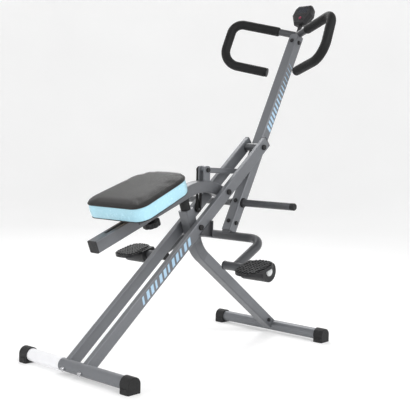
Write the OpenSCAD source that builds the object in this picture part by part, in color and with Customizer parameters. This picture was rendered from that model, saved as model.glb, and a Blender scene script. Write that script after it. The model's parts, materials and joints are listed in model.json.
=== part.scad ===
// Ab crunch machine. A seat arm and an upright post pivot between two inclined rails and are joined by a link,
// so that pulling the handlebar back and pushing the pedals forward lifts the seat.
// +X runs forward from the rear stabilizer to the handlebar, +Y is the user's left, +Z is up.
// The origin is on the floor in the mid-plane, half way along the machine.

/* [Stance] */
// Overall length of each floor stabilizer
stabilizer_w = 500; // [400:10:600]
// Diameter of the stabilizer tubes
stabilizer_d = 38; // [32:1:48]
// Height of the stabilizer axes above the floor
stabilizer_z = 25; // [24:0.5:30]
// Distance between the two stabilizer axes
wheelbase = 925; // [880:5:970]
// Distance from the origin back to the rear stabilizer axis
rear_back = 543; // [500:1:600]

/* [Rails] */
// Slope of the rails
rail_angle = 40; // [36:0.5:44]
// Length of the rails
rail_len = 1048; // [1040:1:1120]
// Width of one rail
rail_w = 18; // [15:1:22]
// Height of one rail
rail_h = 40; // [35:1:45]
// Clear space between the two rails
rail_gap = 60; // [58:1:70]

/* [Post] */
// Slope of the post at rest
post_angle = 63; // [60:0.5:66]
// Width of the post across the machine
post_w = 40; // [34:1:44]
// Depth of the post
post_h = 36; // [32:1:40]
// Length of the post above its pivot
post_up = 482; // [440:1:520]
// Length of the post below its pivot
post_down = 318; // [300:1:340]

/* [Seat arm] */
// Slope of the seat arm at rest
arm_angle = 21.7; // [18:0.1:25]
// Width of the seat arm
arm_w = 38; // [34:1:40]
// Height of the seat arm
arm_h = 39; // [36:1:42]
// Distance from the arm pivot back to the rear end of the arm
arm_tail = 567.8; // [540:0.2:600]

/* [Seat] */
// Greatest width of the seat
seat_w = 255; // [220:1:280]
// Length of the seat
seat_l = 268; // [240:1:300]
// Distance from the arm pivot back to the clamp stud of the seat
seat_back = 327.8; // [280:0.2:380]

/* [Handlebar] */
// Diameter of the handlebar tube
bar_d = 25; // [22:1:28]
// Diameter of the foam grips
grip_d = 34; // [30:1:38]

/* [Pedals] */
// Diameter of the tube that carries the pedals
pedal_bar_d = 30; // [25:1:32]
// Slope of that tube's arms at rest
pedal_bar_tilt = 24.7; // [20:0.1:30]
// Length of the pedals across the machine
pedal_w = 98; // [85:1:110]
// Length of the pedals along the machine
pedal_l = 122; // [110:1:135]

/* [Hidden] */
$fn = 64;
fit = 0.05; // running fit between a pin and its hole
gap = 0.3; // clearance between parts that only meet
wall = 2; // tube wall
corner = 4; // outside corner radius of the square tubes
pin_r = 6; // pivot bolts of the arm, the post and the leg
link_pin_r = 4; // bolts at the two ends of the link
screw_r = 4;
tube_r = stabilizer_d / 2;
front_x = wheelbase - rear_back;
rail_rise = 20; // top line of the rails above the rear tube's axis
rail_y = rail_gap / 2 + rail_w / 2;
rail_out = rail_gap / 2 + rail_w; // outer face of a rail
rail_foot = -12.9; // where the rails start, under the rear tube
arm_pivot_at = 779; // distances of the three bolts along the rails
post_pivot_at = 1018.6;
leg_bolt_at = 602.5;
cap_l = 37; // rubber end caps of the stabilizers
cap_wall = 4;
cap_r = tube_r + cap_wall;
foot_l = 50;
foot_h = 15;
post_offset = 26; // the post's centre line lies this far in front of its pivot
peg_at = -207; // foot pegs, measured along the post from its pivot
pedal_bar_at = -334;
bar_at = 496;
console_at = 570;
peg_r = 12.5;
peg_half = 229;
arm_rise = 41.8; // underside of the arm above its pivot, square to the arm
arm_bend = 41.7;
arm_bend_r = 200;
leg_lean = 68;
leg_h = 37;
leg_w = 40;
leg_above = 61.5; // leg above its bolt
leg_knee = 91.5; // leg from its bolt down to the corner of its bend
leg_bend_r = 120;
bumper_r = 16.5;
link_rear = [-37.8, 93.2]; // link pin on the arm, from the arm pivot
link_front = [-99.7, 3.2]; // link pin on the post, from the post pivot
link_h = 18;
link_w = 17;
link_eye_r = 6.75; // the rear eye is oversize, so the link can float on its pin
link_eye_shift = [-0.4, 2.4];
lug_t = 5;
band_bottom = 133; // the lower band peg is this far below the upper one
band_t = 8;
band_y = 25;
band_w = 7.6;
carriage_h = 20; // underside of the seat above the arm
side_h = 45; // height of the coloured side of the seat
crown_h = 18; // height of the dark seat top
seat_rear_r = 40;
seat_front_r = 80;
seat_skin = 4;
knob_r = 29;
knob_h = 18;
pedal_bar_r = pedal_bar_d / 2;
pedal_bend = 85.2;
pedal_bend_r = 65;
pedal_bar_straight = 103;
pedal_arm_l = 121;
saddle = 7; // the arms stop this far short of the cross tubes' axis
axle_back = 180.1; // cross tubes behind the middle of the pedal tube, along its plane
axle_r = 14;
axle_in = 135;
axle_out = 305;
hub_in = 219;
hub_out = 315;
hub_r = 33;
pedal_y = 275;
pedal_shift = -23; // middle of the pedal plate behind the cross tube
pedal_top = 19;
pedal_pitch = 15; // the pedals rest with their front edge raised
bar_r = bar_d / 2;
bar_turn = [-70.6, -11.6, 114.2]; // turns the plane of a drawn handlebar half into place
bar_start = 9;
bar_reach = 210;
bar_bend_1 = 40;
bar_bend_2 = 65;
bar_drop = 64;
bar_return = 115;
grip_start = 69;
console_h = 82;
console_d = 38;

rear_stabilizer();
front_stabilizer();
rear_cap_left();
rear_cap_right();
front_cap_left();
front_cap_right();
label_sleeve();
rail_left();
rail_right();
rail_plugs();
front_leg();
bumper();
leg_stub();
leg_spacers();
gusset_left();
gusset_right();
rail_bolts();
rail_bolt_caps();
rear_bolts();
leg_foot_bolt();
band_peg();
post_tube();
post_bushing();
link_ears();
link_front_pin();
peg_bar();
peg_collars();
peg_caps();
pedal_stub();
pedal_bar();
pedal_axle_left();
pedal_axle_right();
axle_plugs();
post_screws();
handlebar();
bar_stub();
grip_left();
grip_right();
grip_plugs();
console_stem();
console_housing();
console_lens();
console_button();
seat_arm();
arm_plug();
arm_sleeve();
link_lugs();
link_rear_pin();
link_bar();
resistance_band();
seat_carriage();
seat_board();
seat_foam();
seat_side();
seat_top();
seat_knob();
pedal_left();
pedal_right();
pedal_plug_left();
pedal_plug_right();

// ---- places ----
function turned(q, a) = [q[0] * cos(a) - q[1] * sin(a), q[0] * sin(a) + q[1] * cos(a)];
function rail_point(s, below) =
  [-rear_back, stabilizer_z + rail_rise] + turned([s, -below], rail_angle);
arm_pivot = rail_point(arm_pivot_at, rail_h / 2);
post_pivot = rail_point(post_pivot_at, rail_h / 2);
leg_pivot = rail_point(leg_bolt_at, rail_h / 2);
bar_centre = post_pivot + turned([bar_at, -post_offset], post_angle);
link_a = arm_pivot + turned(link_rear, arm_angle);
link_b = post_pivot + turned(link_front, post_angle);
link_l = norm(link_b - link_a);
link_angle = atan2(link_b[1] - link_a[1], link_b[0] - link_a[0]);
knee = leg_pivot + turned([leg_knee, 0], -leg_lean);
leg_lower = norm([front_x, stabilizer_z] - knee);
leg_slope = atan2(knee[1] - stabilizer_z, front_x - knee[0]);
leg_bend = leg_lean - leg_slope;
leg_tangent = leg_bend_r * tan(leg_bend / 2);

// Frames whose X runs along the rails, the post and the arm; Z points up and back from each
module at_rails() translate([-rear_back, 0, stabilizer_z + rail_rise]) rotate([0, -rail_angle, 0]) children();
module at_post() translate([post_pivot[0], 0, post_pivot[1]]) rotate([0, -post_angle, 0]) children();
module at_arm() translate([arm_pivot[0], 0, arm_pivot[1]]) rotate([0, -arm_angle, 0]) children();
module at_axles() at_post() translate([pedal_bar_at, 0, -post_offset])
  rotate([0, 180 + post_angle - pedal_bar_tilt, 0]) children();
module at_bar() translate([bar_centre[0], 0, bar_centre[1]]) rotate(bar_turn) children();
module at_link() translate([link_a[0], 0, link_a[1]]) rotate([0, -link_angle, 0]) children();
module at_point(p) translate([p[0], 0, p[1]]) children();
// The drawing plane stood upright: its X stays X, its Y becomes Z
module side_view() rotate([90, 0, 0]) children();
module mirrored(side) mirror([0, side > 0 ? 0 : 1, 0]) children();
module both_sides() { children(); mirror([0, 1, 0]) children(); }

// ---- shapes ----
module rounded(w, h, r) {
  square([w - 2 * r, h], center = true);
  square([w, h - 2 * r], center = true);
  for (x = [-1, 1], y = [-1, 1]) translate([x * (w / 2 - r), y * (h / 2 - r)]) circle(r);
}
module box_section(w, h, t, r) difference() {
  rounded(w, h, r);
  rounded(w - 2 * t, h - 2 * t, r - t);
}
module along_x(l) rotate([90, 0, 90]) linear_extrude(l) children();
module along_y(r, y0, y1) translate([0, y0, 0]) rotate([-90, 0, 0]) cylinder(r = r, h = y1 - y0);
lap = 0.5; // straight lengths run this far into the bends next to them
swell = 1.003; // bends are this much fuller than the straight lengths
// A section carried along a plane path of [length, bend radius, bend angle] steps; positive angles turn left
module bent(steps, i = 0) if (i < len(steps)) {
  l = steps[i][0];
  r = steps[i][1];
  a = steps[i][2];
  before = i > 0 ? lap : 0;
  if (l > 0) translate([-before, 0, 0]) along_x(l + before + (a == 0 ? 0 : lap)) children();
  translate([l, 0, 0]) {
    if (a != 0) mirror([0, a > 0 ? 0 : 1, 0]) translate([0, r, 0]) rotate(-90)
      rotate_extrude(angle = abs(a)) translate([r, 0]) scale(swell) children();
    translate([r * sin(abs(a)), sign(a) * r * (1 - cos(a)), 0]) rotate(a) bent(steps, i + 1) children();
  }
}
// A disc with a rounded outer edge
module button_disc(r, h, e) rotate_extrude() {
  square([r - e, h]);
  square([r, h - e]);
  translate([r - e, h - e]) circle(e);
}
// The same disc with its flat side at y, looking outwards along +Y
module disc_at_y(y, r, h, e) translate([0, y, 0]) rotate([-90, 0, 0]) button_disc(r, h, e);

// ---- floor frame ----
module stabilizer(x) translate([x, 0, stabilizer_z]) difference() {
  along_y(tube_r, cap_wall - stabilizer_w / 2, stabilizer_w / 2 - cap_wall);
  along_y(tube_r - wall, -stabilizer_w / 2, stabilizer_w / 2);
}
bolt_tilt = 20;
module at_rear_bolts() for (side = [-1, 1]) translate([-rear_back, side * rail_y, stabilizer_z])
  rotate([0, 90 - bolt_tilt, 0]) children();
module rear_stabilizer() color("dimgray") difference() {
  stabilizer(-rear_back);
  at_rear_bolts() translate([0, 0, -tube_r - 1]) cylinder(r = screw_r + fit, h = 2 * tube_r + 2);
}
module front_stabilizer() color("dimgray") stabilizer(front_x);
module stabilizer_cap(x, side) color("black") mirrored(side) translate([x, stabilizer_w / 2 - cap_l, 0])
  difference() {
    union() {
      translate([0, cap_l, stabilizer_z]) rotate([90, 0, 0]) mirror([0, 0, 1]) translate([0, 0, -cap_l])
        button_disc(cap_r, cap_l, cap_wall / 2);
      translate([0, cap_l / 2, 0]) linear_extrude(foot_h) rounded(foot_l, cap_l, corner * 2);
      translate([0, cap_l / 2, 0]) linear_extrude(stabilizer_z) rounded(2 * cap_r, cap_l, corner / 2);
    }
    translate([0, 0, stabilizer_z]) along_y(tube_r + fit, -1, cap_l - cap_wall + fit);
  }
module rear_cap_left() stabilizer_cap(-rear_back, 1);
module rear_cap_right() stabilizer_cap(-rear_back, -1);
module front_cap_left() stabilizer_cap(front_x, 1);
module front_cap_right() stabilizer_cap(front_x, -1);
label_from = 61;
label_t = 0.7;
module label_sleeve() color("white") translate([-rear_back, 0, stabilizer_z]) difference() {
  along_y(tube_r + label_t, label_from, stabilizer_w / 2 - cap_l);
  along_y(tube_r + fit, label_from - 1, stabilizer_w / 2);
}

rail_corner = 3;
rail_wall = 1.8;
plug_l = 12;
plug_t = 3;
module rail(side) color("gray") difference() {
  at_rails() translate([rail_foot, side * rail_y, -rail_h / 2])
    along_x(rail_len - rail_foot) box_section(rail_w, rail_h, rail_wall, rail_corner);
  translate([-rear_back, 0, stabilizer_z]) along_y(tube_r + fit, -rail_out - 1, rail_out + 1);
  for (s = [arm_pivot_at, post_pivot_at, leg_bolt_at]) at_rails() translate([s, 0, -rail_h / 2])
    along_y(pin_r + fit, side * rail_y - rail_w, side * rail_y + rail_w);
}
module rail_left() rail(1);
module rail_right() rail(-1);
module rail_plugs() color("black") at_rails() for (side = [-1, 1])
  translate([rail_len, side * rail_y, -rail_h / 2]) {
    along_x(plug_t) rounded(rail_w, rail_h, rail_corner);
    translate([-plug_l, 0, 0]) along_x(plug_l + 1)
      rounded(rail_w - 2 * rail_wall - 2 * fit, rail_h - 2 * rail_wall - 2 * fit, 1);
  }

foot_bolt_back = 41.5;
module at_leg() at_point(leg_pivot) side_view() rotate(-leg_lean) translate([-leg_above, 0, 0]) children();
module at_leg_foot() at_point([front_x, stabilizer_z]) side_view() rotate(-leg_slope) children();
module leg_path(start) translate([start, 0, 0])
  bent([[leg_above + leg_knee - leg_tangent - start, leg_bend_r, leg_bend], [leg_lower - leg_tangent, 0, 0]])
    children();
module front_leg() color("gray") difference() {
  at_leg() leg_path(0) rounded(leg_h, leg_w, corner);
  at_leg() leg_path(wall) rounded(leg_h - 2 * wall, leg_w - 2 * wall, corner - wall);
  at_point(leg_pivot) along_y(pin_r + fit, -leg_w, leg_w);
  at_point([front_x, stabilizer_z]) along_y(tube_r + fit, -leg_w, leg_w);
  at_leg_foot() translate([-foot_bolt_back, 0, -leg_w]) cylinder(r = screw_r + fit, h = 2 * leg_w);
}
stub_l = 70;
stub_t = 2.5;
module leg_stub() color("dimgray") difference() {
  at_leg_foot() translate([-stub_l, 0, 0]) along_x(stub_l)
    box_section(leg_h - 2 * wall - gap, leg_w - 2 * wall - gap, stub_t, stub_t + 1);
  at_point([front_x, stabilizer_z]) along_y(tube_r + fit, -leg_w, leg_w);
  at_leg_foot() translate([-foot_bolt_back, 0, -leg_w]) cylinder(r = screw_r + fit, h = 2 * leg_w);
}
leg_top = leg_pivot - turned([leg_above, 0], -leg_lean);
bumper_h = arm_rise - (leg_top - arm_pivot) * [-sin(arm_angle), cos(arm_angle)] - 0.4;
bumper_edge = 2.5;
module bumper() color("black") at_leg() rotate([0, -90, 0]) translate([0, 0, fit])
  button_disc(bumper_r, bumper_h - fit, bumper_edge);
spacer_r = 11;
module leg_spacers() color("dimgray") at_point(leg_pivot) both_sides() difference() {
  along_y(spacer_r, leg_w / 2 + fit, rail_gap / 2 - fit);
  along_y(pin_r + fit, 0, rail_gap);
}
gusset = [[580, -34], [616, -77], [652, -34]]; // along the rail and below its top line
gusset_t = 3;
gusset_flange = 13;
gusset_rim = 4.7; // thickness of the two turned edges, measured upwards
module gusset_plate(side) color("dimgray") at_rails() mirrored(side) translate([0, rail_out + gusset_flange, 0])
  side_view() difference() {
    linear_extrude(gusset_flange) polygon(gusset);
    translate([0, gusset_rim, -1]) linear_extrude(gusset_flange - gusset_t + 1) polygon(gusset);
  }
module gusset_left() gusset_plate(1);
module gusset_right() gusset_plate(-1);
bolt_end = 3;
rail_cap_r = 9.5;
rail_cap_h = 6.5;
module at_rail_bolts() for (s = [arm_pivot_at, post_pivot_at, leg_bolt_at])
  at_rails() translate([s, 0, -rail_h / 2]) children();
module rail_bolts() color("silver") at_rail_bolts() along_y(pin_r, -rail_out - bolt_end, rail_out + bolt_end);
module rail_bolt_caps() color("black") at_rail_bolts() both_sides() difference() {
  disc_at_y(rail_out + fit, rail_cap_r, rail_cap_h, 2);
  along_y(pin_r + fit, 0, rail_out + bolt_end + fit);
}
rear_bolt_l = 52;
rear_head_r = 7;
rear_head_h = 6;
module rear_bolts() color("silver") difference() {
  at_rear_bolts() {
    translate([0, 0, -tube_r]) cylinder(r = screw_r, h = rear_bolt_l);
    translate([0, 0, -tube_r - rear_head_h / 2]) rotate([180, 0, 0]) button_disc(rear_head_r, rear_head_h / 2, 1);
    translate([0, 0, -tube_r - rear_head_h / 2]) cylinder(r = rear_head_r, h = rear_head_h);
  }
  translate([-rear_back, 0, stabilizer_z]) difference() {
    along_y(tube_r + fit, -rail_gap, rail_gap);
    at_origin_bolts();
  }
}
module at_origin_bolts() for (side = [-1, 1]) translate([0, side * rail_y, 0]) rotate([0, 90 - bolt_tilt, 0])
  translate([0, 0, -tube_r - 1]) cylinder(r = screw_r, h = 2 * tube_r + 2);
module leg_foot_bolt() color("black") at_leg_foot() translate([-foot_bolt_back, 0, 0]) rotate([-90, 0, 0]) {
  along_y(screw_r, -leg_w / 2 - 1, leg_w / 2 + 1);
  both_sides() disc_at_y(leg_w / 2 + fit, rear_head_r, rear_head_h - 1, 1.5);
}
band_peg_r = link_pin_r;
module band_peg() color("dimgray") at_point(link_a - [0, band_bottom]) {
  along_y(band_peg_r, band_y - band_w / 2 - 0.3, rail_gap / 2 - fit);
  along_y(band_peg_r + 3, rail_gap / 2 - 1, rail_gap / 2 - fit);
}

// ---- post ----
bush_r = 13.5;
screw_l = 9;
screw_head_r = 7.5;
screw_head_h = 4.5;
back_screws = [-285, peg_at, 453];
side_screws = [-285, 453];
module at_post_screws() {
  for (s = back_screws) at_post() translate([s, 0, post_h / 2 - post_offset]) children();
  for (s = side_screws) both_sides() at_post() translate([s, post_w / 2, -post_offset])
    rotate([-90, 0, 0]) children();
}
module screw_holes() at_post_screws() translate([0, 0, -screw_l - 1]) cylinder(r = screw_r + fit, h = screw_l + 2);
module post_tube() color("gray") difference() {
  at_post() translate([-post_down, 0, -post_offset]) along_x(post_down + post_up)
    box_section(post_w, post_h, wall, corner);
  at_post() along_y(bush_r + fit, -post_w, post_w);
  at_post() translate([peg_at, 0, -post_offset]) along_y(peg_r + fit, -post_w, post_w);
  both_sides() bar_solid(fit);
  screw_holes();
}
module post_bushing() color("dimgray") at_post() difference() {
  along_y(bush_r, gap - rail_gap / 2, rail_gap / 2 - gap);
  along_y(pin_r + fit, -rail_gap, rail_gap);
}
ear_in = link_w / 2 + gap;
ear_t = 4;
ear_r = 11;
ear_root = 38;
module link_ears() color("dimgray") at_post() both_sides() difference() {
  translate([link_front[0], ear_in + ear_t, 0]) side_view() linear_extrude(ear_t) {
    translate([0, link_front[1]]) circle(ear_r);
    polygon([[-ear_root / 2, post_h / 2 - post_offset + fit], [ear_root / 2, post_h / 2 - post_offset + fit],
      [ear_r, link_front[1]], [-ear_r, link_front[1]]]);
  }
  translate([link_front[0], 0, link_front[1]]) along_y(link_pin_r + fit, 0, post_w);
}
pin_head_r = 8;
pin_head_h = 5;
module link_front_pin() color("silver") at_point(link_b) {
  along_y(link_pin_r, -ear_in - ear_t - 1, ear_in + ear_t + 1);
  both_sides() disc_at_y(ear_in + ear_t + fit, pin_head_r, pin_head_h - 1, 1.5);
}
module at_peg() at_post() translate([peg_at, 0, -post_offset]) children();
module peg_bar() color("dimgray") difference() {
  at_peg() difference() {
    along_y(peg_r, -peg_half, peg_half);
    along_y(peg_r - wall, -peg_half - 1, peg_half + 1);
  }
  screw_holes();
}
collar_r = 17;
collar_w = 4;
module peg_collars() color("black") at_peg() both_sides() difference() {
  disc_at_y(post_w / 2 + fit, collar_r, collar_w, 1);
  along_y(peg_r + fit, 0, post_w);
}
peg_cap_l = 16;
module peg_caps() color("black") at_peg() both_sides() {
  disc_at_y(peg_half + fit, peg_r, peg_cap_l, 5);
  along_y(peg_r - wall - fit, peg_half - peg_cap_l, peg_half + 1);
}
stub_len = 79;
module pedal_stub() color("dimgray") difference() {
  at_post() translate([pedal_bar_at, 0, -post_offset]) along_x(stub_len)
    box_section(post_w - 2 * wall - gap, post_h - 2 * wall - gap, stub_t, stub_t + 1);
  at_post() translate([pedal_bar_at, 0, -post_offset]) along_y(pedal_bar_r + fit, -post_w, post_w);
  screw_holes();
}
module pedal_path(r, more) {
  translate([0, -pedal_bar_straight - lap, 0]) rotate(90) along_x(2 * (pedal_bar_straight + lap)) circle(r);
  both_sides() rotate(90) translate([pedal_bar_straight, 0, 0])
    bent([[0, pedal_bend_r, -pedal_bend], [pedal_arm_l - saddle + more, 0, 0]]) circle(r);
}
module pedal_bar() color("dimgray") at_axles() difference() {
  pedal_path(pedal_bar_r, 0);
  pedal_path(pedal_bar_r - wall, 1);
  translate([axle_back, 0, 0]) along_y(axle_r + fit, -axle_out, axle_out);
}
module pedal_axle(side) color("dimgray") at_axles() translate([axle_back, 0, 0]) mirrored(side) difference() {
  along_y(axle_r, axle_in, axle_out);
  along_y(axle_r - wall, axle_in - 1, axle_out + 1);
}
module pedal_axle_left() pedal_axle(1);
module pedal_axle_right() pedal_axle(-1);
plug_r = 15;
module axle_plugs() color("black") at_axles() translate([axle_back, 0, 0]) both_sides() {
  translate([0, axle_in - fit, 0]) rotate([90, 0, 0]) button_disc(plug_r, 4, 1.5);
  along_y(axle_r - wall - fit, axle_in - 1, axle_in + plug_l);
}
module screw() {
  translate([0, 0, fit]) button_disc(screw_head_r, screw_head_h, 2);
  translate([0, 0, -screw_l]) cylinder(r = screw_r, h = screw_l + 1);
}
module post_screws() color("black") at_post_screws() screw();

module bar_path(start, more) translate([start, bar_start, 0])
  bent([[bar_reach - start, bar_bend_1, 90], [bar_drop, bar_bend_2, 90], [bar_return + more, 0, 0]]) children();
module bar_half(inner) intersection() {
  at_bar() bar_path(-bar_start, 0) difference() { circle(bar_r); circle(inner); }
  translate([0, 0, bar_centre[1] - stabilizer_w]) cube([wheelbase, stabilizer_w, 2 * stabilizer_w]);
}
bar_wall = 1.5;
module handlebar() color("dimgray") both_sides() bar_half(bar_r - bar_wall);
module bar_solid(extra) at_bar() translate([-bar_start * 2, bar_start, 0])
  along_x(bar_reach / 3) circle(bar_r + extra);
insert_l = 44;
riser_w = 28;
riser_h = 6;
module bar_stub() color("dimgray") difference() {
  at_post() translate([post_up - insert_l, 0, -post_offset]) {
    along_x(insert_l + 2) box_section(post_w - 2 * wall - gap, post_h - 2 * wall - gap, stub_t, stub_t + 1);
    translate([insert_l + fit, 0, 0]) along_x(riser_h) rounded(riser_w, riser_w - 4, corner);
  }
  both_sides() bar_solid(fit);
  screw_holes();
}
module grip(side) color("black") mirrored(side) at_bar() difference() {
  bar_path(grip_start, 0) circle(grip_d / 2);
  bar_path(grip_start - 1, 1) circle(bar_r + fit);
}
module grip_left() grip(1);
module grip_right() grip(-1);
bar_end_y = bar_start + bar_bend_1 + bar_drop + bar_bend_2;
bar_end_x = bar_reach + bar_bend_1 - bar_bend_2 - bar_return;
module grip_plugs() color("black") both_sides() at_bar() translate([bar_end_x - fit, bar_end_y, 0])
  rotate([0, -90, 0]) {
    button_disc(grip_d / 2 - 0.5, 4, 1.8);
    translate([0, 0, -plug_l]) cylinder(r = bar_r - bar_wall - fit, h = plug_l + 1);
  }
stem_r = 7.5;
module console_stem() color("black") difference() {
  at_post() translate([bar_at, 0, -post_offset]) rotate([0, 90, 0])
    cylinder(r = stem_r, h = console_at - console_h / 2 - bar_at - fit);
  both_sides() bar_solid(fit);
}
// Six-sided face: narrow at the top and the bottom, widest a little below the middle
module console_outline(inset) polygon([for (p = [[-41, 25], [-4, 44], [30, 39], [41, 29]])
    [p[0] - sign(p[0]) * inset, p[1] - inset],
  for (p = [[41, -29], [30, -39], [-4, -44], [-41, -25]]) [p[0] - sign(p[0]) * inset, p[1] + inset]]);
console_back = -20;
console_steps = [[0, 12], [9, 3], [26, 0], [34, 2], [38, 7]]; // depth of each facet ring and its inset
lens_s = [6, 30];
lens_w = 46;
lens_t = 2;
button_s = -16;
button_r = 6;
button_y = 0;
button_pocket = 6;
module at_console() at_post() translate([console_at, 0, console_back - post_offset]) children();
module console_housing() color("black") at_console() difference() {
  union() for (i = [0:len(console_steps) - 2]) hull() for (j = [0, 1])
    translate([0, 0, console_steps[i + j][0] - j * fit]) linear_extrude(fit)
      console_outline(console_steps[i + j][1]);
  translate([lens_s[0], -lens_w / 2, console_d - lens_t]) cube([lens_s[1] - lens_s[0], lens_w, lens_t + 1]);
  translate([button_s, button_y, console_d - button_pocket]) cylinder(r = button_r + gap, h = button_pocket + 1);
}
module console_lens() color([0.1, 0.12, 0.16]) at_console()
  translate([lens_s[0] + fit, fit - lens_w / 2, console_d - lens_t + fit])
    cube([lens_s[1] - lens_s[0] - 2 * fit, lens_w - 2 * fit, lens_t - 0.5]);
module console_button() color("firebrick") at_console()
  translate([button_s, button_y, console_d - button_pocket + 2]) button_disc(button_r, button_pocket - 0.5, 1);

// ---- seat arm ----
arm_nose = (arm_rise + arm_h / 2 - arm_bend_r * (1 - cos(arm_bend))) / sin(arm_bend);
arm_straight = arm_tail - arm_bend_r * sin(arm_bend) - arm_nose * cos(arm_bend);
module arm_path(more, less) at_arm() side_view() translate([-arm_tail - more, arm_rise + arm_h / 2, 0])
  bent([[arm_straight + more, arm_bend_r, -arm_bend], [arm_nose - less, 0, 0]]) children();
sleeve_r = 12;
arm_end = 13; // the arm runs on this far past its pivot
slot_w = 12;
slot_from = 54;
slot_to = 372;
module seat_arm() color("gray") difference() {
  arm_path(0, -arm_end) rounded(arm_h, arm_w, corner);
  arm_path(1, wall - arm_end) rounded(arm_h - 2 * wall, arm_w - 2 * wall, corner - wall);
  at_point(arm_pivot) along_y(sleeve_r + fit, -arm_w, arm_w);
  at_arm() translate([slot_from - arm_tail, -slot_w / 2, arm_rise - 1])
    cube([slot_to - slot_from, slot_w, arm_h + 2]);
}
module arm_plug() color("black") at_arm() translate([-arm_tail, 0, arm_rise + arm_h / 2]) mirror([1, 0, 0]) {
  translate([fit, 0, 0]) along_x(plug_t) rounded(arm_w, arm_h, corner);
  translate([-plug_l, 0, 0]) along_x(plug_l + 1)
    rounded(arm_w - 2 * wall - 2 * fit, arm_h - 2 * wall - 2 * fit, corner - wall);
}
module arm_sleeve() color("dimgray") at_point(arm_pivot) difference() {
  along_y(sleeve_r, gap - rail_gap / 2, rail_gap / 2 - gap);
  along_y(pin_r + fit, -rail_gap, rail_gap);
}
lug_in = link_w / 2 + gap + 0.2;
lug_back = 17;
lug_front = 12;
lug_top = 14;
lug_down = 60;
module link_lugs() color("dimgray") difference() {
  at_point(link_a) both_sides() translate([(lug_front - lug_back) / 2, lug_in + lug_t, (lug_top - lug_down) / 2])
    side_view() linear_extrude(lug_t) rounded(lug_front + lug_back, lug_top + lug_down, 10);
  at_point(link_a) along_y(link_pin_r + fit, -arm_w, arm_w);
  arm_path(0, 0) square([arm_h + 2 * fit, arm_w + 2], center = true);
  at_arm() translate([link_rear[0] - lug_down, -arm_w / 2 - 1, arm_rise + arm_h / 2 - 2 * lug_down])
    cube([2 * lug_down, arm_w + 2, lug_down]);
}
pin_cap_y = 29.3;
module link_rear_pin() color("black") at_point(link_a) {
  along_y(link_pin_r, -lug_in - lug_t - 1, pin_cap_y + 1);
  mirror([0, 1, 0]) disc_at_y(lug_in + lug_t + fit, pin_head_r, pin_head_h, 1.5);
  disc_at_y(pin_cap_y, pin_head_r, pin_head_h - 1, 1.5);
}
module link_bar() color("dimgray") at_link() difference() {
  union() {
    translate([link_eye_shift[0], 0, link_eye_shift[1]]) along_y(link_h / 2 + 1, -link_w / 2, link_w / 2);
    translate([link_l, 0, 0]) along_y(link_h / 2, -link_w / 2, link_w / 2);
    difference() {
      along_x(link_l) rounded(link_w, link_h, 2.5);
      translate([link_h, 0, 0]) along_x(link_l - 2 * link_h) rounded(link_w - 2 * wall, link_h - 2 * wall, 1);
    }
  }
  translate([link_eye_shift[0], 0, link_eye_shift[1]]) along_y(link_eye_r, -link_w, link_w);
  translate([link_l, 0, 0]) along_y(link_pin_r + fit, -link_w, link_w);
}
module band_loop(r) { circle(r); translate([0, band_bottom]) circle(r);
  translate([-r, 0]) square([2 * r, band_bottom]); }
module resistance_band() color([0.08, 0.08, 0.08]) at_point(link_a - [0, band_bottom])
  translate([0, band_y + band_w / 2, 0]) side_view() linear_extrude(band_w) difference() {
    band_loop(link_pin_r + 0.2 + band_t);
    band_loop(link_pin_r + 0.2);
  }

// ---- seat, drawn in the arm's frame with its clamp stud at X = 0 ----
seat_front = seat_front_r + 47.2; // front edge ahead of the stud
seat_rear = seat_front - seat_l;
front_y = 34; // how far the centres of the large front corners lie off the mid-plane
arm_top = arm_rise + arm_h;
module at_seat() at_arm() translate([-seat_back, 0, 0]) children();
arc_steps = 24;
function arc(c, r, a0, a1) = [for (i = [0:arc_steps]) let (a = a0 + (a1 - a0) * i / arc_steps)
  c + r * [cos(a), sin(a)]];
seat_a = [seat_rear + seat_rear_r, seat_w / 2 - seat_rear_r];
seat_b = [seat_front - seat_front_r, front_y];
seat_side_angle = atan2(seat_b[1] - seat_a[1], seat_b[0] - seat_a[0])
  + acos((seat_rear_r - seat_front_r) / norm(seat_b - seat_a));
function seat_half(inset) = concat(arc(seat_b, seat_front_r - inset, 0, seat_side_angle),
  arc(seat_a, seat_rear_r - inset, seat_side_angle, 180));
module seat_outline(inset) let (half = seat_half(inset), n = len(half))
  polygon(concat(half, [for (i = [1:n]) [half[n - i][0], -half[n - i][1]]]));
board_t = 12;
seat_base = arm_top + carriage_h;
channel_l = 130;
cheek_h = 26;
cheek_t = 3;
plate_l = 150;
plate_w = 110;
stud_r = 5;
module seat_carriage() color("dimgray") at_seat() difference() {
  union() {
    translate([-channel_l / 2, 0, seat_base - cheek_t - fit]) translate([-(plate_l - channel_l) / 2, -plate_w / 2, 0])
      cube([plate_l, plate_w, cheek_t]);
    difference() {
      translate([-channel_l / 2, -arm_w / 2 - gap - cheek_t, arm_top - cheek_h])
        cube([channel_l, arm_w + 2 * (gap + cheek_t), cheek_h + carriage_h - cheek_t / 2 - 1]);
      translate([-channel_l / 2 - 1, -arm_w / 2 - gap, arm_top - cheek_h - 1])
        cube([channel_l + 2, arm_w + 2 * gap, cheek_h + 1 + gap]);
      translate([-channel_l / 2 - 1, -arm_w / 2 - gap, arm_top + cheek_t + gap])
        cube([channel_l + 2, arm_w + 2 * gap, carriage_h - 2 * cheek_t - 1]);
    }
  }
  translate([0, 0, arm_top - 1]) cylinder(r = stud_r + fit, h = carriage_h + 1);
}
module seat_board() color("burlywood") at_seat() translate([0, 0, seat_base]) linear_extrude(board_t)
  seat_outline(seat_skin + fit);
module seat_foam() color("khaki") at_seat() translate([0, 0, seat_base + board_t + fit])
  linear_extrude(side_h - board_t - 2 * fit) seat_outline(seat_skin + fit);
module seat_side() color("lightblue") at_seat() translate([0, 0, seat_base]) linear_extrude(side_h) difference() {
  seat_outline(0);
  seat_outline(seat_skin);
}
crown_step = 7;
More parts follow.
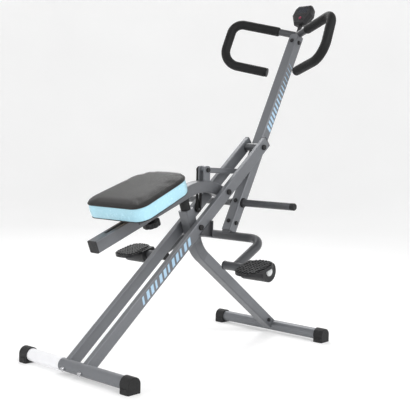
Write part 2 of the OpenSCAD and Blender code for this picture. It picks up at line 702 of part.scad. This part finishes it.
module seat_top() color([0.15, 0.14, 0.13]) at_seat() translate([0, 0, seat_base + side_h + fit]) {
  linear_extrude(crown_h - crown_step) seat_outline(0);
  linear_extrude(crown_h) seat_outline(crown_step);
}
knob_top = 6; // knob below the underside of the arm
flutes = 9;
flute_r = 5.5;
module seat_knob() color("black") at_seat() {
  difference() {
    translate([0, 0, arm_rise - knob_top]) mirror([0, 0, 1]) button_disc(knob_r, knob_h, 3);
    for (i = [0:flutes - 1]) rotate(i * 360 / flutes) translate([knob_r + 1, 0, arm_rise - knob_top - knob_h - 1])
      cylinder(r = flute_r, h = knob_h + 2);
  }
  translate([0, 0, arm_rise - knob_top - 1]) cylinder(r = 2 * stud_r, h = knob_top + 1 - gap);
  translate([0, 0, arm_rise - knob_top - 1]) cylinder(r = stud_r, h = arm_h + knob_top + carriage_h - cheek_t - 1);
}

// ---- pedals, drawn level about their cross tube ----
axle_point = post_pivot + turned([pedal_bar_at, -post_offset], post_angle)
  + turned([-axle_back, 0], pedal_bar_tilt);
deck_t = 4.5;
rim_t = 4;
rim_low = 10; // lower edge of the rim above the cross tube's axis
ridge_h = 3;
ridges = 8;
cross_ridges = 6;
ridge_pitch = 12;
pedal_corner = 40;
module pedal_plan(inset) translate([pedal_shift, pedal_y])
  rounded(pedal_l - 2 * inset, pedal_w - 2 * inset, pedal_corner - inset);
module ridge_row(n, l) for (i = [0:n - 1])
  translate([(i - (n - 1) / 2 - 0.2) * ridge_pitch, -l / 2, 0]) cube([0.4 * ridge_pitch, l, ridge_h]);
module at_pedal(side) at_point(axle_point) rotate([0, -pedal_pitch, 0]) mirrored(side) children();
module pedal(side) color("black") at_pedal(side) difference() {
  union() {
    translate([0, 0, pedal_top - deck_t]) linear_extrude(deck_t) pedal_plan(0);
    translate([0, 0, rim_low]) difference() {
      linear_extrude(pedal_top - rim_low) pedal_plan(0);
      translate([0, 0, -1]) linear_extrude(pedal_top) pedal_plan(rim_t);
    }
    translate([0, 0, pedal_top]) intersection() {
      linear_extrude(ridge_h) pedal_plan(rim_t);
      translate([pedal_shift, pedal_y, 0]) {
        ridge_row(ridges, pedal_w);
        rotate(90) ridge_row(cross_ridges, pedal_l);
      }
    }
    intersection() {
      along_y(hub_r, hub_in, hub_out);
      translate([-hub_r, hub_in, -hub_r]) cube([2 * hub_r, hub_out - hub_in, hub_r + pedal_top - 1]);
    }
  }
  along_y(axle_r + fit, hub_in - 1, hub_out + 1);
}
module pedal_left() pedal(1);
module pedal_right() pedal(-1);
module pedal_plug(side) color("lightgray") at_pedal(side) {
  along_y(axle_r, axle_out + 1, hub_out + 0.5);
  disc_at_y(hub_out, axle_r - 2, 3, 1);
}
module pedal_plug_left() pedal_plug(1);
module pedal_plug_right() pedal_plug(-1);
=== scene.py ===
import json
import math

import bmesh
import bpy
from mathutils import Euler, Matrix, Vector, noise


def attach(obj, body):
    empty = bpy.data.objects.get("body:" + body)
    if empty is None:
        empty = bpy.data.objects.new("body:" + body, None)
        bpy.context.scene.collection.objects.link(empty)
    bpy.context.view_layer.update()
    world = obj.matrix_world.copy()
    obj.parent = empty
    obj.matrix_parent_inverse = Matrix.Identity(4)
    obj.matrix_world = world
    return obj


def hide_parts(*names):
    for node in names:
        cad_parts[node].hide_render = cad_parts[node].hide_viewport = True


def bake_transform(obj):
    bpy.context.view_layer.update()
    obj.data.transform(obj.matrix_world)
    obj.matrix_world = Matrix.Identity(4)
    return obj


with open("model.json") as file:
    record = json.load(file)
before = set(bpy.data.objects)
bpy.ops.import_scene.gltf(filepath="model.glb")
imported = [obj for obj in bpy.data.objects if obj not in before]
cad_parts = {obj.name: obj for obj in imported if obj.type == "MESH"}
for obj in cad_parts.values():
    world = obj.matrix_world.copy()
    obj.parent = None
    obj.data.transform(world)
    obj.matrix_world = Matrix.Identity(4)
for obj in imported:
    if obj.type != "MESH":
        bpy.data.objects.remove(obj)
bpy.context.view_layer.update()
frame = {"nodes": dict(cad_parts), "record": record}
nodes = frame["nodes"]

# ---- places, in metres, in the CAD frame ----
ARM_PIVOT = Vector((0.066604, 0, 0.530411))
POST_PIVOT = Vector((0.250149, 0, 0.684423))
BAND_TOP = Vector((-0.002977, 0, 0.603029))
BAND_LOW = Vector((-0.002977, 0, 0.470029))
BAR_CENTRE = Vector((0.4985, 0, 1.1146))
RAIL_ORIGIN = Vector((-0.543, 0, 0.045))
RAIL_ANGLE, POST_ANGLE, ARM_ANGLE = 40, 63, 21.7
BAR_TURN = (-70.6, -11.6, 114.2)
SEAT_BACK = 0.3278  # the seat's clamp stud behind the arm's pivot
RAIL_FACE, POST_FACE = 0.048, 0.020  # outer side faces from the mid-plane


def tilted(point, degrees):
    """A frame at point whose X climbs forward by that angle."""
    return Matrix.Translation(point) @ Matrix.Rotation(-math.radians(degrees), 4, "Y")


AT_RAILS = tilted(RAIL_ORIGIN, RAIL_ANGLE)
AT_POST = tilted(POST_PIVOT, POST_ANGLE)
AT_SEAT = tilted(ARM_PIVOT, ARM_ANGLE) @ Matrix.Translation((-SEAT_BACK, 0, 0))
AT_BAR = Matrix.Translation(BAR_CENTRE) @ Euler(
    [math.radians(a) for a in BAR_TURN], "XYZ").to_matrix().to_4x4()
MIRROR = Matrix.Diagonal((1, -1, 1, 1))


# ---- materials ----
class Nodes:
    """A material's node tree with short calls for what every finish here needs."""

    def __init__(self, name, **constants):
        self.material = bpy.data.materials.new(name)
        self.material.use_nodes = True
        self.tree = self.material.node_tree
        self.shader = self.tree.nodes["Principled BSDF"]
        self.place = self.add("ShaderNodeTexCoord").outputs["Object"]
        for key, value in constants.items():
            self.shader.inputs[key.replace("_", " ")].default_value = value

    def add(self, kind, **settings):
        made = self.tree.nodes.new(kind)
        for key, value in settings.items():
            if hasattr(made, key):
                setattr(made, key, value)
            else:
                made.inputs[key].default_value = value
        return made

    def join(self, a, b):
        self.tree.links.new(a, b)

    def noise(self, scale, detail=4, stretch=None):
        made = self.add("ShaderNodeTexNoise", Scale=scale, Detail=detail)
        self.join(self.stretched(stretch), made.inputs["Vector"])
        return made.outputs["Fac"]

    def cells(self, scale, feature="F1", stretch=None):
        made = self.add("ShaderNodeTexVoronoi", feature=feature, Scale=scale)
        self.join(self.stretched(stretch), made.inputs["Vector"])
        return made.outputs["Distance"]

    def stretched(self, stretch):
        if stretch is None:
            return self.place
        made = self.add("ShaderNodeMapping")
        made.inputs["Scale"].default_value = stretch
        self.join(self.place, made.inputs["Vector"])
        return made.outputs["Vector"]

    def ramp(self, source, stops):
        made = self.add("ShaderNodeValToRGB")
        bar = made.color_ramp
        while len(bar.elements) < len(stops):
            bar.elements.new(0.5)
        for element, (at, value) in zip(bar.elements, stops):
            element.position = at
            element.color = (*value, 1) if hasattr(value, "__len__") else (value, value, value, 1)
        self.join(source, made.inputs["Fac"])
        return made.outputs["Color"]

    def mix(self, factor, a, b):
        made = self.add("ShaderNodeMix", data_type="RGBA")
        self.join(factor, made.inputs[0])
        for value, socket in ((a, made.inputs[6]), (b, made.inputs[7])):
            if hasattr(value, "is_output"):
                self.join(value, socket)
            else:
                socket.default_value = (*value, 1)
        return made.outputs[2]

    def colour(self, source):
        self.join(source, self.shader.inputs["Base Color"])

    def rough(self, source, low, high):
        made = self.add("ShaderNodeMapRange")
        made.inputs["To Min"].default_value = low
        made.inputs["To Max"].default_value = high
        self.join(source, made.inputs["Value"])
        self.join(made.outputs["Result"], self.shader.inputs["Roughness"])

    def bump(self, *layers):
        """Bumps of (source, depth in metres), one over the other."""
        before = None
        for source, depth in layers:
            made = self.add("ShaderNodeBump", Strength=1.0, Distance=depth)
            self.join(source, made.inputs["Height"])
            if before:
                self.join(before, made.inputs["Normal"])
            before = made.outputs["Normal"]
        self.join(before, self.shader.inputs["Normal"])


def shade(colour, factor):
    return tuple(c * factor for c in colour)


def painted_edge_highlight(m, base, edge, amount):
    """Base colour, lightened towards the edge colour where the surface turns sharply: a painted highlight
    along convex edges.
    """
    curve = m.add("ShaderNodeNewGeometry").outputs["Pointiness"]
    mask = m.ramp(curve, [(0.5 + 0.03 / amount, 0.0), (0.5 + 0.09 / amount, 0.5)])
    return m.mix(mask, base, edge)


def paint(name, base, metallic=0.35, low=0.34, high=0.5):
    m = Nodes(name, Metallic=metallic, Coat_Weight=0.25, Coat_Roughness=0.3)
    cloud = m.ramp(m.noise(14), [(0.3, shade(base, 0.9)), (0.7, shade(base, 1.1))])
    fleck = m.ramp(m.cells(2600), [(0.05, 1.0), (0.3, 0.0)])
    # sharp convex edges are painted lighter, a painted highlight standing in for light on rounded tube
    # corners
    m.colour(painted_edge_highlight(m, m.mix(fleck, cloud, shade(base, 1.25)), shade(base, 1.6), 1.0))
    m.rough(m.noise(60), low, high)
    m.bump((m.noise(900, 2), 0.00012), (m.noise(45, 2), 0.0002))
    return m.material


def moulded(name, base, low=0.38, high=0.55, grain=1500, depth=0.00012):
    m = Nodes(name, Specular_IOR_Level=0.4)
    # sharp convex edges are painted lighter, a painted highlight
    m.colour(painted_edge_highlight(m, m.ramp(m.noise(35), [(0.3, shade(base, 0.85)), (0.7, shade(base, 1.2))]),
                  shade(base, 2.2), 1.2))
    m.rough(m.noise(90), low, high)
    m.bump((m.cells(grain), depth), (m.noise(30, 2), 0.0002))
    return m.material


def foam(name, base):
    m = Nodes(name, Specular_IOR_Level=0.3)
    pores = m.cells(1300)
    m.colour(m.ramp(pores, [(0.1, shade(base, 0.6)), (0.6, shade(base, 1.3))]))
    m.rough(m.noise(200), 0.5, 0.68)
    m.bump((pores, 0.0003), (m.noise(70), 0.0006))
    return m.material


def vinyl(name, base, dark, low, high, coat):
    m = Nodes(name, Coat_Weight=coat, Coat_Roughness=0.18, Sheen_Weight=0.06)
    grain = m.cells(620, "DISTANCE_TO_EDGE")
    cloud = m.ramp(m.noise(9), [(0.3, shade(base, 0.93)), (0.7, shade(base, 1.05))])
    m.colour(m.mix(m.ramp(grain, [(0.0, 1.0), (0.06, 0.0)]), cloud, dark))
    m.rough(m.noise(120), low, high)
    m.bump((m.ramp(grain, [(0.0, 0.0), (0.22, 1.0)]), 0.00018), (m.noise(260), 0.00025),
           (m.noise(16, 2), 0.0012))
    return m.material


def plated(name, base):
    m = Nodes(name, Metallic=0.95, Anisotropic=0.3)
    m.colour(m.ramp(m.noise(160), [(0.35, shade(base, 0.8)), (0.7, base)]))
    m.rough(m.noise(400, stretch=(1, 12, 1)), 0.22, 0.42)
    m.bump((m.noise(1200, stretch=(1, 14, 1)), 0.00006))
    return m.material


def wrapped(name, base):
    m = Nodes(name, Coat_Weight=0.3, Coat_Roughness=0.15)
    m.colour(m.ramp(m.noise(22), [(0.3, shade(base, 0.95)), (0.7, base)]))
    m.rough(m.noise(80), 0.3, 0.42)
    m.bump((m.noise(50, 3), 0.0003))
    return m.material


def plywood(name, base):
    m = Nodes(name)
    m.colour(m.ramp(m.noise(6, stretch=(1, 1, 160)), [(0.35, shade(base, 0.7)), (0.65, base)]))
    m.rough(m.noise(100), 0.6, 0.8)
    m.bump((m.noise(300, stretch=(1, 1, 3)), 0.0003))
    return m.material


def glassy(name, base):
    m = Nodes(name, Coat_Weight=0.8, Coat_Roughness=0.05, IOR=1.5)
    m.colour(m.ramp(m.noise(18), [(0.3, shade(base, 0.8)), (0.7, shade(base, 1.3))]))
    m.rough(m.noise(60), 0.08, 0.16)
    m.bump((m.noise(140, 2), 0.00004))
    return m.material


FINISH = {
    "frame_paint": paint("frame_paint", (0.125, 0.13, 0.14), 0.45),
    "dark_paint": paint("dark_paint", (0.06, 0.062, 0.067), 0.35),
    "black_plastic": moulded("black_plastic", (0.006, 0.006, 0.007)),
    "rubber": moulded("rubber", (0.006, 0.006, 0.0065), 0.5, 0.68, 1100, 0.0002),
    "grip_foam": foam("grip_foam", (0.004, 0.004, 0.0045)),
    "steel": plated("steel", (0.55, 0.55, 0.57)),
    "white_label": wrapped("white_label", (0.86, 0.86, 0.88)),
    "seat_blue": vinyl("seat_blue", (0.43, 0.74, 0.86), (0.36, 0.66, 0.79), 0.2, 0.32, 0.5),
    "seat_black": vinyl("seat_black", (0.0085, 0.0074, 0.0066), (0.005, 0.0045, 0.004), 0.5, 0.64, 0.0),
    "foam": foam("foam", (0.6, 0.55, 0.4)),
    "board": plywood("board", (0.42, 0.29, 0.16)),
    "display": glassy("display", (0.012, 0.015, 0.022)),
    "button_red": glassy("button_red", (0.22, 0.015, 0.05)),
    "plug_grey": moulded("plug_grey", (0.55, 0.56, 0.56), 0.4, 0.5),
    "decal": wrapped("decal", (0.40, 0.58, 0.74)),
}
SLOT_OF = {s["node"]: s["material_slot"] for s in frame["record"]["subparts"]}

for name, thing in nodes.items():
    thing.data.materials.clear()
    thing.data.materials.append(FINISH[SLOT_OF[name]])


# ---- shapes ----
def piece(name, verts, faces, finish, smooth=True):
    mesh = bpy.data.meshes.new(name)
    mesh.from_pydata([tuple(v) for v in verts], [], faces)
    mesh.update()
    tidy = bmesh.new()
    tidy.from_mesh(mesh)
    bmesh.ops.recalc_face_normals(tidy, faces=tidy.faces)
    tidy.to_mesh(mesh)
    tidy.free()
    mesh.polygons.foreach_set("use_smooth", [smooth] * len(mesh.polygons))
    made = bpy.data.objects.new(name, mesh)
    bpy.context.scene.collection.objects.link(made)
    made.data.materials.append(FINISH[finish])
    return made


def fixed(made, body, slot, *replaced):
    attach(made, body)
    if replaced:
        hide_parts(*replaced)
    return made


def rings(loops, closed_round=False):
    """Faces between equal loops of vertices; the ends are capped unless the loops close on themselves."""
    n, m = len(loops[0]), len(loops)
    verts = [v for loop in loops for v in loop]
    faces = []
    for i in range(m if closed_round else m - 1):
        j = (i + 1) % m
        faces += [(i * n + k, i * n + (k + 1) % n, j * n + (k + 1) % n, j * n + k) for k in range(n)]
    if not closed_round:
        faces += [tuple(range(n))[::-1], tuple((m - 1) * n + k for k in range(n))]
    return verts, faces


def circle(r, n):
    return [(r * math.cos(2 * math.pi * k / n), r * math.sin(2 * math.pi * k / n)) for k in range(n)]


def swept(path, section, size=lambda share: 1.0, closed=False):
    """Loops of a section carried along a path without twisting; size(share) scales it along the way."""
    count = len(path)
    loops, normal = [], None
    for i, p in enumerate(path):
        ahead = path[(i + 1) % count] if closed or i + 1 < count else p
        behind = path[i - 1] if closed or i else p
        along = (ahead - behind).normalized()
        if normal is None:
            normal = along.orthogonal().normalized()
        normal = (normal - along * normal.dot(along)).normalized()
        side = along.cross(normal)
        s = size(i / (count - 1))
        loops.append([p + (normal * a + side * b) * s for a, b in section])
    return rings(loops, closed)


def arc(centre, r, a0, a1, n):
    angles = [a0 + (a1 - a0) * i / n for i in range(n + 1)]
    return [(centre[0] + r * math.cos(a), centre[1] + r * math.sin(a)) for a in angles]


def spaced(points, step, closed=False):
    """The same polyline with even steps."""
    pts = points + [points[0]] if closed else points
    lengths = [0.0]
    for a, b in zip(pts, pts[1:]):
        lengths.append(lengths[-1] + (b - a).length)
    count = max(2, round(lengths[-1] / step))
    out, k = [], 0
    for i in range(count if closed else count + 1):
        want = lengths[-1] * i / count
        while k < len(lengths) - 2 and lengths[k + 1] < want:
            k += 1
        span = lengths[k + 1] - lengths[k] or 1
        out.append(pts[k].lerp(pts[k + 1], (want - lengths[k]) / span))
    return out


# ---- seat ----
SEAT_FRONT, SEAT_REAR, SEAT_HALF = 0.1272, -0.1408, 0.1275
REAR_R, FRONT_R, FRONT_Y = 0.040, 0.080, 0.034
SEAT_BASE, SIDE_TOP, CROWN = 0.1008, 0.1458, 0.018
SEAT_MIDDLE = Vector((-0.012, 0, 0))
CUSHION_EDGE, BAND_EDGE, STITCH_EDGE = 0.0015, 0.0022, 0.0035  # how far inside the CAD seat's outline
# loops of the cushion: how far in from the seam, as a share, and how high
CUSHION_LOOPS = ((0, 0), (0, 0.0035), (0.012, 0.0075), (0.04, 0.0105), (0.1, 0.0128), (0.22, 0.0145),
                 (0.4, 0.0156), (0.6, 0.0162), (0.8, 0.0165), (0.97, 0.0166))
# section of the coloured band: outwards and upwards from its lower edge
BAND_SECTION = ((-0.0008, 0.0), (0.0004, 0.002), (0.0012, 0.006), (0.0020, 0.012), (0.0024, 0.020),
                (0.0022, 0.028), (0.0016, 0.035), (0.0007, 0.041), (-0.0006, 0.0448), (-0.0036, 0.0448),
                (-0.0036, 0.0))
# name, height, radius and inset of each piping
PIPINGS = (("seat_piping_top", SIDE_TOP + 0.0003, 0.0021, 0.0012),
           ("seat_piping_low", SEAT_BASE + 0.0012, 0.0016, 0.0022))
VOXEL, SWELL_CAP, SMOOTH_PASSES = 0.0045, 0.0024, 6
PULL, PULL_REACH, PULL_GRAIN = 0.0011, 0.014, 55
HOLLOW, HOLLOW_SPREAD = 0.0012, 0.005
STITCH_PITCH, STITCH_R, STITCH_HALF, STITCH_NECK = 0.0045, 0.0004, 0.0014, 0.0010
STITCH_IN, STITCH_UP = 0.0035, 0.0098


def seat_outline(inset, step=0.0035):
    a = (SEAT_REAR + REAR_R, SEAT_HALF - REAR_R)
    b = (SEAT_FRONT - FRONT_R, FRONT_Y)
    between = Vector((b[0] - a[0], b[1] - a[1]))
    turn = math.atan2(between.y, between.x) + math.acos((REAR_R - FRONT_R) / between.length)
    half = arc(b, FRONT_R - inset, 0, turn, 20) + arc(a, REAR_R - inset, turn, math.pi, 20)
    both = half + [(x, -y) for x, y in reversed(half)]
    return spaced([Vector((x, y, 0)) for x, y in both], step, closed=True)


def lifted(points, z):
    return [AT_SEAT @ Vector((p.x, p.y, z)) for p in points]


def cushion_mesh():
    """Closed crowned pad: loops that climb inwards from the seam, drawn in the seat's own frame."""
    edge = seat_outline(CUSHION_EDGE)
    return rings([[Vector((*p.lerp(SEAT_MIDDLE, share).xy, SIDE_TOP + height)) for p in edge]
                  for share, height in CUSHION_LOOPS])


def simulate(thing, cap, floor_z):
    """Inflates a pad with Cloth, keeps its underside and limits how far any point moves."""
    bpy.context.view_layer.objects.active = thing
    before = [v.co.copy() for v in thing.data.vertices]
    cloth = thing.modifiers.new("puff", "CLOTH")
    s = cloth.settings
    s.quality, s.mass = 6, 0.3
    s.tension_stiffness = s.compression_stiffness = 25
    s.shear_stiffness, s.bending_stiffness = 8, 6
    s.use_pressure, s.uniform_pressure_force = True, 4
    s.effector_weights.gravity = 0
    held = thing.vertex_groups.new(name="held")
    held.add([i for i, p in enumerate(before) if p.z < floor_z + 0.004], 1.0, "REPLACE")
    s.vertex_group_mass = "held"
    for f in range(1, 21):
        bpy.context.scene.frame_set(f)
    after = thing.evaluated_get(bpy.context.evaluated_depsgraph_get()).data
    moved = []
    for old, v in zip(before, after.vertices):
        step = v.co - old
        if step.length > cap:
            step *= cap / step.length
        moved.append(old + step)
    thing.modifiers.remove(cloth)
    bpy.context.scene.frame_set(1)
    for v, p in zip(thing.data.vertices, moved):
        v.co = (p.x, p.y, max(p.z, floor_z))
    thing.data.update()
    evened(thing, floor_z + 0.006)


def evened(thing, above):
    """Smooths what the simulation left uneven above that height."""
    mesh = bmesh.new()
    mesh.from_mesh(thing.data)
    for _ in range(SMOOTH_PASSES):
        bmesh.ops.smooth_vert(mesh, verts=[v for v in mesh.verts if v.co.z > above], factor=0.5,
                              use_axis_x=True, use_axis_y=True, use_axis_z=True)
    mesh.to_mesh(thing.data)
    mesh.free()


def remeshed(thing, size):
    bpy.context.view_layer.objects.active = thing
    thing.data.remesh_voxel_size = size
    with bpy.context.temp_override(object=thing, active_object=thing):
        bpy.ops.object.voxel_remesh()
    thing.data.polygons.foreach_set("use_smooth", [True] * len(thing.data.polygons))


def pulled(pad):
    """Soft pulls along the seam, and a shallow hollow where a user sits."""
    outline = seat_outline(0)
    for v in pad.data.vertices:
        height = (v.co.z - SIDE_TOP) / CROWN
        if height > 0.05:
            near = min((v.co.xy - p.xy).length for p in outline[::3])
            grain = noise.noise(Vector((v.co.x * PULL_GRAIN, v.co.y * PULL_GRAIN, 3)))
            pull = math.exp(-near / PULL_REACH) * grain
            hollow = math.exp(-((v.co.x + 0.01) ** 2 + v.co.y ** 2) / HOLLOW_SPREAD)
            v.co.z += PULL * pull - HOLLOW * hollow


def make_cushion():
    pad = piece("seat_cushion", *cushion_mesh(), "seat_black")
    remeshed(pad, VOXEL)
    simulate(pad, SWELL_CAP, SIDE_TOP)
    pulled(pad)
    pad.data.transform(AT_SEAT)
    smoother = pad.modifiers.new("finer", "SUBSURF")
    smoother.levels = smoother.render_levels = 1
    fixed(pad, "seat", "seat_black", "seat_top")


def make_seat_band():
    loops = []
    for p in seat_outline(BAND_EDGE):
        out = (p - SEAT_MIDDLE).normalized()
        ripple = 0.0006 * noise.noise(Vector((p.x * 38, p.y * 38, 1)))
        loops.append([AT_SEAT @ (p + out * (d + (ripple if d > 0 else 0)) + Vector((0, 0, SEAT_BASE + z)))
                      for d, z in BAND_SECTION])
    band = piece("seat_band", *rings(loops, True), "seat_blue")
    fixed(band, "seat", "seat_blue", "seat_side", "seat_foam")


def make_piping():
    for label, z, r, inset in PIPINGS:
        path = lifted(seat_outline(inset), z)
        fixed(piece(label, *swept(path, circle(r, 10), closed=True), "seat_black"), "seat", "seat_black")


def make_stitches():
    verts, faces = [], []
    for p in seat_outline(STITCH_EDGE, STITCH_PITCH):
        inwards = (SEAT_MIDDLE - p).normalized()
        at = AT_SEAT @ (p + inwards * STITCH_IN + Vector((0, 0, SIDE_TOP + STITCH_UP)))
        heading = AT_SEAT.to_3x3() @ inwards.cross(Vector((0, 0, 1)))
        path = [at + heading * d for d in (-STITCH_HALF, -STITCH_NECK, STITCH_NECK, STITCH_HALF)]
        v, f = swept(path, circle(STITCH_R, 6), lambda share: 0.35 if share in (0.0, 1.0) else 1.0)
        faces += [tuple(k + len(verts) for k in face) for face in f]
        verts += v
    fixed(piece("seat_stitches", verts, faces, "seat_black"), "seat", "seat_black")


make_cushion()
make_seat_band()
make_piping()
make_stitches()

# ---- foam grips ----
BAR_START, BAR_REACH, BEND_1, BEND_2, DROP, RETURN = 0.009, 0.210, 0.040, 0.065, 0.064, 0.115
GRIP_FROM, GRIP_R, GRIP_STEP = 0.069, 0.017, 0.004


def grip_path():
    """Centre line of the left grip in the plane of its handlebar half."""
    flat = [(GRIP_FROM, BAR_START), (BAR_REACH, BAR_START)]
    flat += arc((BAR_REACH, BAR_START + BEND_1), BEND_1, -math.pi / 2, 0, 14)
    top = BAR_START + BEND_1 + DROP
    x = BAR_REACH + BEND_1
    flat += arc((x - BEND_2, top), BEND_2, 0, math.pi / 2, 18)
    flat += [(x - BEND_2 - RETURN, top + BEND_2)]
    return spaced([Vector((a, b, 0)) for a, b in flat], GRIP_STEP)


def make_grips():
    path = grip_path()

    def size(share):
        """Rounded shoulders at the ends, and the slight unevenness of foam."""
        at = share * len(path) * GRIP_STEP
        to_end = min(at, len(path) * GRIP_STEP - at)
        shoulder = min(1.0, 0.86 + 0.14 * math.sqrt(min(1.0, to_end / 0.006)))
        return shoulder * (1 + 0.012 * noise.noise(Vector((at * 60, 0, 5))))

    for side, turn in (("left", Matrix.Identity(4)), ("right", MIRROR)):
        v, f = swept(path, circle(GRIP_R, 40), size)
        place = turn @ AT_BAR
        grip = piece(f"foam_grip_{side}", [place @ p for p in v], f, "grip_foam")
        fixed(grip, "post", "grip_foam", f"grip_{side}")


make_grips()


# ---- resistance band ----
LOOP_R, LOOP_STEP = 0.0082, 0.004  # middle of the band around each peg
BAND_SIDE = Vector((0, 0.025, 0))
BAND_HALF_T, BAND_HALF_W, BAND_CORNER = 0.004, 0.0038, 0.0014


def band_section():
    """A rectangle with round corners."""
    points = []
    for side_t, side_w, start in ((1, 1, 0), (-1, 1, 90), (-1, -1, 180), (1, -1, 270)):
        for k in range(4):
            a = math.radians(start + 30 * k)
            points.append((side_t * (BAND_HALF_T - BAND_CORNER) + BAND_CORNER * math.cos(a),
                           side_w * (BAND_HALF_W - BAND_CORNER) + BAND_CORNER * math.sin(a)))
    return points


def make_band():
    turn = arc((0, 0), LOOP_R, 0, math.pi, 14)
    upper = [BAND_TOP + BAND_SIDE + Vector((x, 0, z)) for x, z in turn]
    lower = [BAND_LOW + BAND_SIDE + Vector((-x, 0, -z)) for x, z in turn]
    path = spaced(upper + lower, LOOP_STEP, closed=True)
    band = piece("rubber_band", *swept(path, band_section(), closed=True), "rubber")
    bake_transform(band)
    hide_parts("resistance_band")


make_band()


# ---- decals: plain slanted bars and fading stripes, with no lettering ----
DECAL_T = 0.0003


def plate_run(name, at, quads, body):
    """Thin plates, each a quad in the drawing plane of the frame at, standing out along its normal."""
    verts, faces = [], []
    for quad in quads:
        base = len(verts)
        verts += [at @ Vector((a, out, b)) for out in (0, DECAL_T) for a, b in quad]
        faces += [(base, base + 1, base + 2, base + 3), (base + 7, base + 6, base + 5, base + 4)]
        faces += [(base + i, base + (i + 1) % 4, base + 4 + (i + 1) % 4, base + 4 + i) for i in range(4)]
    fixed(piece(name, verts, faces, "decal", smooth=False), body, "white_label")


def slanted(s, width, low, high, lean):
    return [(s, low), (s + width, low), (s + width + lean, high), (s + lean, high)]


def on_face(at, side, out):
    """The frame at, moved out to a side face, with its Y pointing away from the machine."""
    return at @ Matrix.Translation((0, side * out, 0)) @ Matrix.Diagonal((1, side, 1, 1))


RAIL_BARS = [slanted(0.262 + 0.0235 * i, 0.014 if i % 3 else 0.009, -0.032, -0.008, 0.011)
             for i in range(12)]
POST_BARS = [slanted(0.080 + 0.019 * i, 0.0115 - 0.0007 * i, -0.0385, -0.0135, 0.0085)
             for i in range(15)]
for name, side in (("left", 1), ("right", -1)):
    plate_run(f"rail_stripes_{name}", on_face(AT_RAILS, side, RAIL_FACE), RAIL_BARS, "frame")
    plate_run(f"post_stripes_{name}", on_face(AT_POST, side, POST_FACE), POST_BARS, "post")


# ---- floor, light and camera ----
CAMERA_AT = Vector((-2.0881, -1.8769, 0.6766))
YAW, PITCH, ROLL = (math.radians(a) for a in (41.91, -4.24, 1.52))
FOCAL_PX, PICTURE_H = 835.56, 420


FLOOR_R, SWEEP_R, WALL_TOP, FLOOR_DROP = 4, 3, 9, 0.0005
LAMPS = (("key", (-0.4, -2.6, 2.6), 1.2, 50), ("fill", (-2.8, 0.6, 1.6), 1.6, 13),
         ("back", (1.4, 1.8, 2.8), 1.2, 32))  # name, place, size and watts
LAMPS_AIM = Vector((0, 0, 0.5))


def make_floor():
    """A pale floor that sweeps up into a backdrop all round."""
    profile = [(0.01, 0)]
    profile += [(FLOOR_R + SWEEP_R * math.sin(a), SWEEP_R - SWEEP_R * math.cos(a))
                for a in (math.pi / 2 * i / 24 for i in range(25))]
    profile.append((FLOOR_R + SWEEP_R, WALL_TOP))
    turns = 96
    verts = [(x, y, z - FLOOR_DROP) for r, z in profile for x, y in circle(r, turns)]
    faces = [(i + k, i + (k + 1) % turns, i + turns + (k + 1) % turns, i + turns + k)
             for i in range(0, (len(profile) - 1) * turns, turns) for k in range(turns)]
    faces.append(tuple(range(turns))[::-1])
    sheet = bpy.data.meshes.new("studio_floor")
    sheet.from_pydata(verts, [], faces)
    sheet.polygons.foreach_set("use_smooth", [True] * len(sheet.polygons))
    floor = bpy.data.objects.new("studio_floor", sheet)
    bpy.context.scene.collection.objects.link(floor)
    m = Nodes("studio_floor")
    m.colour(m.ramp(m.noise(1.5), [(0.3, 0.69), (0.7, 0.72)]))
    m.rough(m.noise(20), 0.6, 0.75)
    m.bump((m.noise(200), 0.0001))
    m.shader.inputs["Emission Color"].default_value = (1, 1, 1, 1)
    m.shader.inputs["Emission Strength"].default_value = 0.33
    floor.data.materials.append(m.material)


def make_light():
    world = bpy.data.worlds.new("studio")
    bpy.context.scene.world = world
    world.use_nodes = True
    sky = world.node_tree.nodes["Background"]
    sky.inputs["Color"].default_value = (1, 1, 1, 1)
    sky.inputs["Strength"].default_value = 0.4
    for name, at, size, power in LAMPS:
        lamp = bpy.data.lights.new(name, "AREA")
        lamp.size, lamp.energy = size, power
        made = bpy.data.objects.new(name, lamp)
        made.location = at
        made.rotation_mode = "QUATERNION"
        made.rotation_quaternion = (LAMPS_AIM - Vector(at)).to_track_quat("-Z", "Y")
        bpy.context.scene.collection.objects.link(made)


def make_camera():
    lens = bpy.data.cameras.new("camera")
    lens.lens = FOCAL_PX / PICTURE_H * lens.sensor_width
    lens.clip_end = 60
    camera = bpy.data.objects.new("camera", lens)
    look = Vector((math.cos(YAW) * math.cos(PITCH), math.sin(YAW) * math.cos(PITCH), math.sin(PITCH)))
    level = Vector((math.sin(YAW), -math.cos(YAW), 0))
    above = level.cross(look)
    right = level * math.cos(ROLL) + above * math.sin(ROLL)
    up = above * math.cos(ROLL) - level * math.sin(ROLL)
    turn = Matrix((right, up, -look)).transposed().to_4x4()
    camera.matrix_world = Matrix.Translation(CAMERA_AT) @ turn
    bpy.context.scene.collection.objects.link(camera)
    bpy.context.scene.camera = camera
    bpy.context.scene.view_settings.view_transform = "Standard"


make_floor()
make_light()
make_camera()
